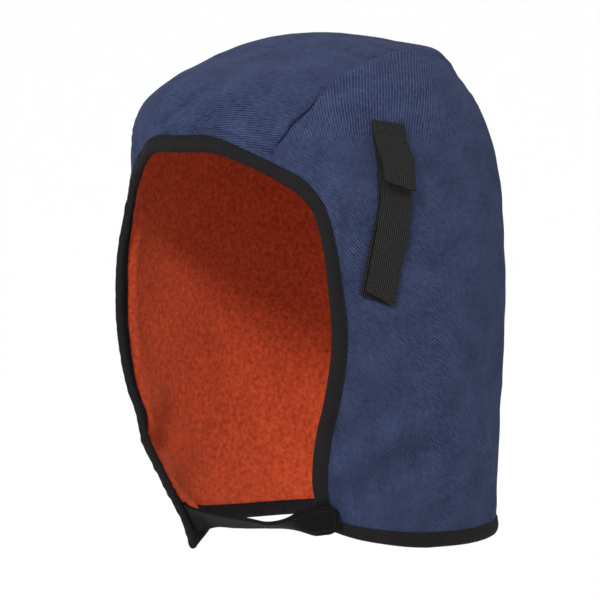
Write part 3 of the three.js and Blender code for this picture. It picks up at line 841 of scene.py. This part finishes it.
tape_black = ribbed(
    "black_tape", (0.0035, 0.0032, 0.0036, 1), (0.0140, 0.0125, 0.0130, 1),
    pitch=0.9, depth=0.11, roughness=0.85,
)
band_black = ribbed(
    "black_band", (0.0012, 0.0009, 0.0010, 1), (0.0045, 0.0032, 0.0034, 1),
    pitch=1.0, depth=0.06, roughness=0.8,
)
webbing = ribbed(
    "ribbed_webbing", (0.003, 0.003, 0.003, 1), (0.026, 0.025, 0.0235, 1),
    pitch=1.2, depth=0.24, roughness=0.8, speckle=1.2, bands="Y",
)
thread_black = ribbed(
    "black_thread", (0.010, 0.010, 0.012, 1), (0.036, 0.036, 0.040, 1),
    pitch=0.5, depth=0.05, roughness=0.6,
)
print([material.name for material in (tape_black, band_black, webbing, thread_black)])

# %% [markdown]
# ## Shell panels
# Three panels of twill, each one wall. The map of a side panel is the flat drape of the
# cloth; that of the centre strip is turned, because it was cut on another grain. The
# lining is one wall over all three grids, at every other row and column.

# %% Shell and lining
CROWN_GRAIN = math.radians(-34)
EVERY_OTHER = (slice(None, None, 2), slice(None, None, 2))


def side_map(name):
    grid = GRIDS[name]
    return lay_flat(np.abs(angle_of(grid)), reach_of(grid))


def crown_map():
    across = lengths_from_start(BASES["crown"], 1)
    middle = across[:, across.shape[1] // 2]
    aside, down = across - middle[:, None], lengths_from_start(BASES["crown"], 0)
    c, s = math.cos(CROWN_GRAIN), math.sin(CROWN_GRAIN)
    return np.stack([c * aside + s * down, c * down - s * aside], -1)


MAPS = {"left": side_map("left"), "right": side_map("right"), "crown": crown_map()}


def shell_panel(piece, name):
    parts = [GRIDS[name]], [RELIEFS[name]], [MAPS[name]]
    return sewn_wall(piece, *parts, 0, -SHELL_WALL, twill)


crown_shell = shell_panel("crown_shell", "crown")
side_left = shell_panel("side_shell_left", "left")
side_right = shell_panel("side_shell_right", "right")
fleece_inner = sewn_wall(
    "fleece_inner",
    *([parts[name][EVERY_OTHER] for name in GRIDS] for parts in (GRIDS, RELIEFS, MAPS)),
    -SHELL_WALL - CLEARANCE, -CLOTH_STACK, fleece,
    [edge_pinch(name)[EVERY_OTHER] for name in GRIDS],
)

# %% [markdown]
# ## Edge tape
# The tape is folded over the edges of shell and lining and sewn through, which presses
# them thinner. Its section is rounded over the fold, pulled down where the thread runs,
# and thin at its woven edges. At the hem corners its legs crowd together into the mitre.

# %% Tape sections
TAPE_OUTER = table(
    "past stand",
    (-7.0, 0.20), (-6.9, 0.58), (-6.4, 0.85), (-5.7, 0.66), (-5.0, 0.88), (-4.2, 1.10),
    (-3.0, 1.25), (-1.6, 1.22), (-0.5, 1.00), (0.2, 0.60), (0.7, -0.10), (0.95, -0.92),
)
TAPE_INNER = table(
    "past stand",
    (0.25, -0.9), (0.1, -0.3), (-0.3, 0.05), (-3.0, 0.1), (-6.4, 0.08),
)
STITCH_PAST = -5.7
STITCH_STAND = 0.76
LEG_CELLS = 6
MITRE_LENGTH = 2 * TAPE_WIDTH
TAPE_PUCKER = 0.13
TAPE_WAVES = (5.3, 8.1, 13.7)
PUFF_MIDDLE = 3


def tape_section():
    """One closed loop of past and stand, from the outer leg round to the inner skin"""
    outer, inner = (np.stack([skin["past"], skin["stand"]], -1)
                    for skin in (TAPE_OUTER, TAPE_INNER))
    flip, shift = np.array([1, -1]), np.array([0, -EDGE_STACK])
    under, inner_under = (skin[::-1] * flip + shift for skin in (outer, inner))
    return np.concatenate([outer, under, inner_under, inner])


def legs_of(edge, inside):
    """Spots a tape width in from the edge, towards grid spots a few cells inside"""
    across = smooth_cloth(inside) - smooth_cloth(edge)
    gap = np.linalg.norm(across, axis=-1, keepdims=True)
    return edge + (inside - edge) * TAPE_WIDTH / gap


def running(spots):
    """Length along spots on the cloth, from the first"""
    return run_of(steps_of(folded_cloth(spots)))


def mitred(edge, legs):
    """Legs of an edge that starts at a corner, moved away from that corner"""
    length = running(edge)
    moved = np.where(length < MITRE_LENGTH, TAPE_WIDTH + length / 2, length)
    return np.stack([np.interp(moved, length, legs[:, k]) for k in range(2)], -1)


def corner_stations(name):
    """Edge and leg spots of the cheek above the tape's end, and on round the hem"""
    grid = GRIDS[name]
    cheek, hem = grid[::-1, 0], grid[-1]
    cheek_legs = mitred(cheek, legs_of(cheek, grid[::-1, LEG_CELLS]))
    hem_legs = mitred(hem, legs_of(hem, grid[-1 - LEG_CELLS]))
    cheek_legs[0] = hem_legs[0] = (cheek_legs[0] + hem_legs[0]) / 2
    end = int(np.searchsorted(running(cheek), TAPE_END))
    below = [np.concatenate([one[end::-1], two[1:]])
             for one, two in ((cheek, hem), (cheek_legs, hem_legs))]
    above = [cheek[end:][::-1], cheek_legs[end:][::-1]]
    return above, below


def tape_loops(edges, legs, seed):
    base, normal = folded_cloth(edges), normals_of(folded_cloth, edges)
    out = unit(base - folded_cloth(legs))
    length = running(edges)
    starts = np.random.default_rng(seed).uniform(0, 2 * math.pi, len(TAPE_WAVES))
    wavy = sum(np.sin(2 * math.pi * length / pitch + start)
               for pitch, start in zip(TAPE_WAVES, starts))
    loops = []
    for past, stand in tape_section():
        puff = TAPE_PUCKER * wavy * math.exp(-((past + PUFF_MIDDLE) / PUFF_MIDDLE) ** 2)
        lift = stand + puff * (1 if stand > -EDGE_STACK / 2 else -1)
        if past <= 0:
            loops.append(place(edges - (legs - edges) * past / TAPE_WIDTH, lift))
        else:
            loops.append(base + normal * lift[:, None] + out * past)
    return np.stack(loops, 1)


# %% Face and hem tape
above_left, below_left = corner_stations("left")
above_right, below_right = corner_stations("right")
crown = GRIDS["crown"]
forehead = [crown[0], legs_of(crown[0], crown[LEG_CELLS])]
nape = [crown[-1], legs_of(crown[-1], crown[-1 - LEG_CELLS])]
face_line = [np.concatenate([right[::-1], middle[1:-1], left])
             for right, middle, left in zip(above_right, forehead, above_left)]
hem_line = [np.concatenate([right, middle[1:-1], left[::-1]])
            for right, middle, left in zip(below_right, nape, below_left)]
face_tape = strip("face_tape", tape_loops(*face_line, 3), tape_black)
hem_tape = strip("hem_tape", tape_loops(*hem_line, 4), tape_black)

# %% [markdown]
# ## Chin band
# The band is sewn inside the front edge of the right corner, runs level round the jaw,
# turns flat under the chin and ends in a round tongue that is fastened outside the left
# corner. It follows one line, and its section is a rounded flat bar that narrows to
# nothing at the tongue's tip.

# %% Chin band
BAND_INSIDE = -(CLOTH_STACK + 2 * TAPE_CLEARANCE + TAPE_WALL + STRAP_WALL / 2)
BAND_OUTSIDE = 2 * TAPE_CLEARANCE + TAPE_WALL + STRAP_WALL / 2
BAND_ROUTE = table(
    "angle reach outward lean",
    (-37.5, 1.004, 0.27, 4), (-34, 1.004, 0.26, 4),
    (-30, 1.003, 0.24, 8), (-18, 0.999, 0.22, 28), (-4, 0.993, 0.50, 34),
    (10, 0.987, 0.73, 44), (20, 0.984, 0.91, 50), (28, 0.979, 1.08, 34),
    (34, 0.974, 1.10, 6), (40, 0.971, 1.05, 0), (46, 0.972, 1.00, 0),
)
BAND_STEPS = 220
TIP_STEPS = 26
TIP_CELLS = 8
WAY_STEP = 0.5
BAND_SECTION = table(
    "across stand",
    (-0.5, -0.25), (-0.47, -0.5), (0.47, -0.5), (0.5, -0.25),
    (0.5, 0.25), (0.47, 0.46), (0.42, 0.5), (0.36, 0.46), (-0.36, 0.46), (-0.42, 0.5),
    (-0.47, 0.46), (-0.5, 0.25),
)


def along_route(route, name, angles):
    return through(route["angle"], route[name], angles)


def band_places(angles):
    """Spots and middle places of the band at angles along its route"""
    spots = chart(angles, along_route(BAND_ROUTE, "reach", angles))
    outward = along_route(BAND_ROUTE, "outward", angles)
    return spots, place(spots, BAND_INSIDE + (BAND_OUTSIDE - BAND_INSIDE) * outward)


def turned(vectors, axes, angles):
    """Vectors turned about unit axes that are square to them"""
    angles = angles[:, None]
    return vectors * np.cos(angles) + np.cross(axes, vectors) * np.sin(angles)


def band_frames(angles):
    spots, centres = band_places(angles)
    way = unit(band_places(angles + WAY_STEP)[1] - band_places(angles - WAY_STEP)[1])
    upright = unit(np.cross(normals_of(folded_cloth, spots), way))
    across = turned(upright, way, np.radians(along_route(BAND_ROUTE, "lean", angles)))
    return centres, across, np.cross(way, across)


def flat_bar_loops(centres, across, normals, widths, wall):
    loops = []
    for side, stand in zip(BAND_SECTION["across"], BAND_SECTION["stand"]):
        aside = across * (side * widths)[:, None]
        loops.append(centres + aside + normals * stand * wall)
    return np.stack(loops, 1)


def tip_width(to_tip):
    """Width of a round tongue at lengths from its tip"""
    share = np.minimum((to_tip + STRAP_WALL / 4) / (STRAP_WIDTH / 2), 1)
    return STRAP_WIDTH * np.sqrt(1 - (1 - share) ** 2)


def band_angles():
    first, last = BAND_ROUTE["angle"][[0, -1]]
    even = np.linspace(first, last, BAND_STEPS)
    ease = np.linspace(0, 1, TIP_STEPS) ** 2
    tip = last - (last - even[-TIP_CELLS]) * ease[::-1]
    return np.concatenate([even[:-TIP_CELLS], tip])


turns = band_angles()
centres, across, normals = band_frames(turns)
to_tip = run_of(steps_of(centres)[::-1])[::-1]
band_loops = flat_bar_loops(centres, across, normals, tip_width(to_tip), STRAP_WALL)
chin_band = strip("chin_band", band_loops, band_black)
print(f"chin band {to_tip[0]:.0f} mm long")

# %% [markdown]
# ## Hat tabs
# Each tab is a webbing strip that lies on the shell, with a second ply under it whose
# edge peeps out in front and below. Over its top a short flap is sewn down, and its free
# end lifts away. The hard hat's harness goes between flap and strip.

# %% Tab routes
TAB_STAND = 2 * CLEARANCE + WEBBING_WALL / 2
FLAP_STAND = TAB_STAND + CLEARANCE + WEBBING_WALL
ROUTE_COLUMNS = "angle reach lift turn"
STRIP_ROUTE = table(
    ROUTE_COLUMNS,
    (76.3, 0.371, 0.0, 5), (76.9, 0.430, 0.0, 3), (77.9, 0.488, 0.015, 0),
    (77.5, 0.525, 0.03, 0), (77.2, 0.556, 0.045, 0), (76.4, 0.597, 0.045, 0),
    (75.1, 0.640, 0.045, 4), (74.4, 0.6525, 0.045, 6),
)
PLY_ROUTE = table(
    ROUTE_COLUMNS,
    (76.8, 0.455, -0.03, 0), (77.3, 0.500, -0.03, 0), (76.5, 0.556, -0.035, 0),
    (75.7, 0.597, -0.035, 0), (74.4, 0.640, -0.035, 4), (73.7, 0.655, -0.035, 6),
)
FLAP_ROUTE = table(
    ROUTE_COLUMNS,
    (76.0, 0.369, 0.0, 5), (76.0, 0.393, 0.01, 5), (76.2, 0.413, 0.07, 6),
    (76.7, 0.442, 0.17, 9), (76.9, 0.481, 0.21, 13),
)
WEBBING_STEPS = 90
FLAP_STEPS = 70
PLY_WIDTH = WEBBING_WIDTH - 0.6
PLY_WALL = 0.9
SIDES = {"left": 1, "right": -1}
TAB_PARTS = (
    ("tab_strip", STRIP_ROUTE, TAB_STAND, WEBBING_STEPS, WEBBING_WIDTH, WEBBING_WALL),
    ("tab_ply", PLY_ROUTE, TAB_STAND, WEBBING_STEPS, PLY_WIDTH, PLY_WALL),
    ("tab_flap_cloth", FLAP_ROUTE, FLAP_STAND, FLAP_STEPS, WEBBING_WIDTH, WEBBING_WALL),
)


def route_frames(route, side, stand, count):
    """Centres, directions across and normals along a route of webbing on the shell"""
    lengths = run_of(steps_of(folded_cloth(chart(route["angle"], route["reach"]))))
    at = np.linspace(0, lengths[-1], count)
    angle, reach, lift, turn = (through(lengths, route[key], at)
                                for key in ROUTE_COLUMNS.split())
    spots = chart(angle, reach, side)
    normal = normals_of(smooth_cloth, spots)
    centre = folded_cloth(spots) + normal * (stand + lift * WEBBING_WIDTH)[:, None]
    way = unit(np.gradient(centre, axis=0))
    across = unit(np.cross(way, normal))
    normal = np.cross(across, way)
    return centre, turned(across, normal, -side * np.radians(turn)), normal


def tab_strip(name, side, route, stand, count, width, wall):
    frames = route_frames(route, side, stand, count)
    loops = flat_bar_loops(*frames, np.full(count, float(width)), wall)
    return strip(name, loops, webbing)


tab_pieces = {
    word: [tab_strip(f"{part}_{word}", side, *sizes) for part, *sizes in TAB_PARTS]
    for word, side in SIDES.items()
}

# %% [markdown]
# ## Stitches
# Rows of stitches follow the tapes, the flaps and the band's tongue. Each is a short
# thread grain. Geometry Nodes set one at every step of a line, lying along the line and
# square to the cloth, with a small random turn from a fixed seed.

# %% Stitch tree
STITCH_WOBBLE = 0.12


def stitch_tree():
    tree = bpy.data.node_groups.new("stitch_row", "GeometryNodeTree")
    face = tree.interface
    face.new_socket("Line", in_out="INPUT", socket_type="NodeSocketGeometry")
    for name, kind in (("Pitch", "Float"), ("Length", "Float"), ("Thickness", "Float"),
                       ("Seed", "Int"), ("Thread", "Material")):
        face.new_socket(name, in_out="INPUT", socket_type=f"NodeSocket{kind}")
    face.new_socket("Stitches", in_out="OUTPUT", socket_type="NodeSocketGeometry")

    node = node_adder(tree)
    given = node("NodeGroupInput").outputs
    curve = node("GeometryNodeMeshToCurve", Mesh=given["Line"]).outputs["Curve"]
    spaced = node("GeometryNodeResampleCurve", {"mode": "LENGTH"}, Curve=curve,
                  Length=given["Pitch"]).outputs["Curve"]
    outward = node("GeometryNodeInputNamedAttribute", {"data_type": "FLOAT_VECTOR"},
                   Name="outward").outputs["Attribute"]
    tangent = node("GeometryNodeInputTangent").outputs["Tangent"]
    wobble = node("FunctionNodeRandomValue", {"data_type": "FLOAT_VECTOR"},
                  Min=[-STITCH_WOBBLE] * 3, Max=[STITCH_WOBBLE] * 3, Seed=given["Seed"])
    astray = node("ShaderNodeVectorMath", {"operation": "ADD"}, _0=tangent,
                  _1=wobble.outputs["Value"])
    along = node("FunctionNodeAlignRotationToVector", {"axis": "X"},
                 Vector=astray.outputs["Vector"])
    upright = node("FunctionNodeAlignRotationToVector", {"axis": "Z", "pivot_axis": "X"},
                   Rotation=along.outputs["Rotation"], Vector=outward)
    grain = node("GeometryNodeMeshUVSphere", Segments=6, Rings=5,
                 Radius=0.5).outputs["Mesh"]
    size = node("ShaderNodeCombineXYZ", X=given["Length"], Y=given["Thickness"],
                Z=given["Thickness"]).outputs["Vector"]
    placed = node("GeometryNodeInstanceOnPoints", Points=spaced, Instance=grain,
                  Rotation=upright.outputs["Rotation"], Scale=size).outputs["Instances"]
    real = node("GeometryNodeRealizeInstances", Geometry=placed).outputs["Geometry"]
    smooth = node("GeometryNodeSetShadeSmooth", Geometry=real).outputs["Geometry"]
    coloured = node("GeometryNodeSetMaterial", Geometry=smooth, Material=given["Thread"])
    node("NodeGroupOutput", Stitches=coloured.outputs["Geometry"])
    return tree


STITCH_TREE = stitch_tree()


def stitches(name, lines, seed, pitch=3.0, length=2.3, thickness=0.42):
    """Plain mesh of stitches along lines, given as places in mm and their normals"""
    points, outward = (np.concatenate(parts) for parts in zip(*lines))
    edges, start = [], 0
    for places, _ in lines:
        edges += [(start + i, start + i + 1) for i in range(len(places) - 1)]
        start += len(places)
    guide = bpy.data.meshes.new(f"{name}_line")
    guide.from_pydata((points * MM).tolist(), edges, [])
    attribute = guide.attributes.new("outward", "FLOAT_VECTOR", "POINT")
    attribute.data.foreach_set("vector", outward.astype(np.float32).ravel())
    carrier = put(f"{name}_line", guide)
    row = carrier.modifiers.new("stitches", "NODES")
    row.node_group = STITCH_TREE
    sockets = {item.name: item.identifier for item in STITCH_TREE.interface.items_tree
               if item.in_out == "INPUT"}
    values = (pitch * MM, length * MM, thickness * MM, seed, thread_black)
    for key, value in zip(("Pitch", "Length", "Thickness", "Seed", "Thread"), values):
        row[sockets[key]] = value
    seen = carrier.evaluated_get(bpy.context.evaluated_depsgraph_get())
    mesh = bpy.data.meshes.new_from_object(seen)
    bpy.data.objects.remove(carrier)
    print(name, len(mesh.polygons), "faces")
    return put(name, mesh)


# %% Stitches on the tapes
def tape_stitch_lines(edges, legs):
    spots = edges - (legs - edges) * STITCH_PAST / TAPE_WIDTH
    normal = normals_of(folded_cloth, spots)
    return [(place(spots, STITCH_STAND), normal),
            (place(spots, -EDGE_STACK - STITCH_STAND), -normal)]


face_stitches = stitches("face_stitches", tape_stitch_lines(*face_line), 5)
hem_stitches = stitches("hem_stitches", tape_stitch_lines(*hem_line), 6)

# %% Stitches on the tabs and the band
FLAP_ROWS = (0.03, 0.16, 0.38)
FLAP_INSET = 0.09
FLAP_POINTS = 12
THREAD_RISE = 0.05
TONGUE_INSET = 2.4
TONGUE_LENGTH = 22


def surface_line(frames, shares, sides, stand):
    """Line over a strip: shares along it and across it, a stand off its middle"""
    centre, across, normal = frames
    at = np.asarray(shares) * (len(centre) - 1)
    index = np.arange(len(centre))
    parts = [np.stack([np.interp(at, index, part[:, k]) for k in range(3)], -1)
             for part in (centre, across, normal)]
    wide = np.asarray(sides)[:, None] * WEBBING_WIDTH
    return parts[0] + parts[1] * wide + parts[2] * stand, parts[2]


def flap_stitch_lines(side):
    frames = route_frames(FLAP_ROUTE, side, FLAP_STAND, FLAP_STEPS)
    stand = WEBBING_WALL / 2 + THREAD_RISE
    reach = 0.5 - FLAP_INSET
    wide = np.linspace(-reach, reach, FLAP_POINTS)
    long = np.linspace(FLAP_ROWS[0], FLAP_ROWS[-1], FLAP_POINTS)
    rows = [(np.full(FLAP_POINTS, share), wide) for share in FLAP_ROWS]
    edges = [(long, np.full(FLAP_POINTS, end * reach)) for end in (-1, 1)]
    return [surface_line(frames, shares, sides, stand) for shares, sides in rows + edges]


tab_stitches = {
    word: stitches(f"tab_stitches_{word}", flap_stitch_lines(side), 7,
                   pitch=2.2, length=1.9, thickness=0.45)
    for word, side in SIDES.items()
}


def tongue_stitch_line():
    """Stitched arc on the tongue, a little inside its outline"""
    half = tip_width(to_tip) / 2 - TONGUE_INSET
    kept = (to_tip > TONGUE_INSET) & (to_tip < TONGUE_LENGTH) & (half > 0)
    middle = (centres + normals * (STRAP_WALL / 2 + THREAD_RISE))[kept]
    aside = (across * half[:, None])[kept]
    both_normals = np.concatenate([normals[kept], normals[kept][::-1]])
    return np.concatenate([middle + aside, (middle - aside)[::-1]]), both_normals


tongue_stitches = stitches("tongue_stitches", [tongue_stitch_line()], 8,
                           pitch=2.2, length=1.8, thickness=0.6)

# %% [markdown]
# ## Floor, light, and the pieces put on the body
# A wide pale dish far below the hood gives an even ground from every side. One soft
# lamp stands high in front, more to the front than the camera, so the cloth darkens
# towards the back of the head. An even white sky fills the shadows.

# %% Floor and light
FLOOR_LEVEL = -0.95
FLOOR_FLAT = 3.0
FLOOR_EDGE = 8.0
FLOOR_RISE = 5.0
FLOOR_RINGS = 24
FLOOR_SPOKES = 64
FLOOR_COLOUR = (0.96, 0.96, 0.96, 1)
LAMP_AZIMUTH = 26
LAMP_ELEVATION = 33
LAMP_DISTANCE = 2.4
LAMP_SIZE = 0.45
LAMP_POWER = 50
SKY_STRENGTH = 1.0


def pale_floor():
    material, shader = new_shader("pale_floor", 1.0, 0.0)
    shader.inputs["Base Color"].default_value = FLOOR_COLOUR
    points, faces = [(0, 0, FLOOR_LEVEL)], []
    for ring in range(FLOOR_RINGS):
        share = ring / (FLOOR_RINGS - 1)
        radius = FLOOR_FLAT + (FLOOR_EDGE - FLOOR_FLAT) * math.sin(share * math.pi / 2)
        level = FLOOR_LEVEL + FLOOR_RISE * (1 - math.cos(share * math.pi / 2))
        for spoke in range(FLOOR_SPOKES):
            turn = 2 * math.pi * spoke / FLOOR_SPOKES
            points.append((radius * math.cos(turn), radius * math.sin(turn), level))
    for spoke in range(FLOOR_SPOKES):
        following = (spoke + 1) % FLOOR_SPOKES
        faces.append((0, 1 + spoke, 1 + following))
        for ring in range(FLOOR_RINGS - 1):
            inner, outer = 1 + ring * FLOOR_SPOKES, 1 + (ring + 1) * FLOOR_SPOKES
            faces.append((inner + spoke, outer + spoke,
                          outer + following, inner + following))
    mesh = bpy.data.meshes.new("floor")
    mesh.from_pydata(points, [], faces)
    mesh.materials.append(material)
    mesh.shade_smooth()
    put("floor", mesh)


pale_floor()
lamp = bpy.data.lights.new("key", "AREA")
lamp.shape, lamp.size, lamp.energy = "DISK", LAMP_SIZE, LAMP_POWER
aimed("key", lamp, LAMP_AZIMUTH, LAMP_ELEVATION, LAMP_DISTANCE)
world = bpy.data.worlds.new("even_sky")
world.use_nodes = True
background = world.node_tree.nodes["Background"]
background.inputs["Color"].default_value = (1, 1, 1, 1)
background.inputs["Strength"].default_value = SKY_STRENGTH
bpy.context.scene.world = world
bpy.context.scene.view_settings.view_transform = "Standard"

# %% Put the pieces on the body and hide their solids
CLOTH_PIECES = (
    (crown_shell, "crown_panel", "shell_twill", (0.125, 0.470), 0.0441, "stretched"),
    (side_left, "side_panel_left", "shell_twill", (0.200, 0.300), 0.0402, "hung"),
    (side_right, "side_panel_right", "shell_twill", (0.200, 0.300), 0.0409, "hung"),
    (fleece_inner, "fleece_lining", "lining_fleece", (0.480, 0.330), 0.1215, "hung"),
)
MEASURED_STEPS = 40


def hand_over(piece, slot, *nodes):
    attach(piece, "root")
    if nodes:
        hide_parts(*nodes)


for piece, node, slot, flat, area, held in CLOTH_PIECES:
    hand_over(piece, slot, node)
hand_over(face_tape, "edge_tape", "face_binding")
hand_over(hem_tape, "edge_tape", "hem_binding")
hand_over(chin_band, "chin_band", "chin_strap")
for piece in (face_stitches, hem_stitches):
    hand_over(piece, "edge_tape")
hand_over(tongue_stitches, "chin_band")
for word, side in SIDES.items():
    for piece, solid in zip(tab_pieces[word], ("strap", "strap", "flap")):
        hand_over(piece, "webbing", f"hat_tab_{solid}_{word}")
    hand_over(tab_stitches[word], "webbing")
    for piece, (_, route, stand, _, width, _) in zip(tab_pieces[word], TAB_PARTS):
        middle, _, _ = route_frames(route, side, stand, MEASURED_STEPS)
folded_cloth(face_line[0])
folded_cloth(hem_line[0])
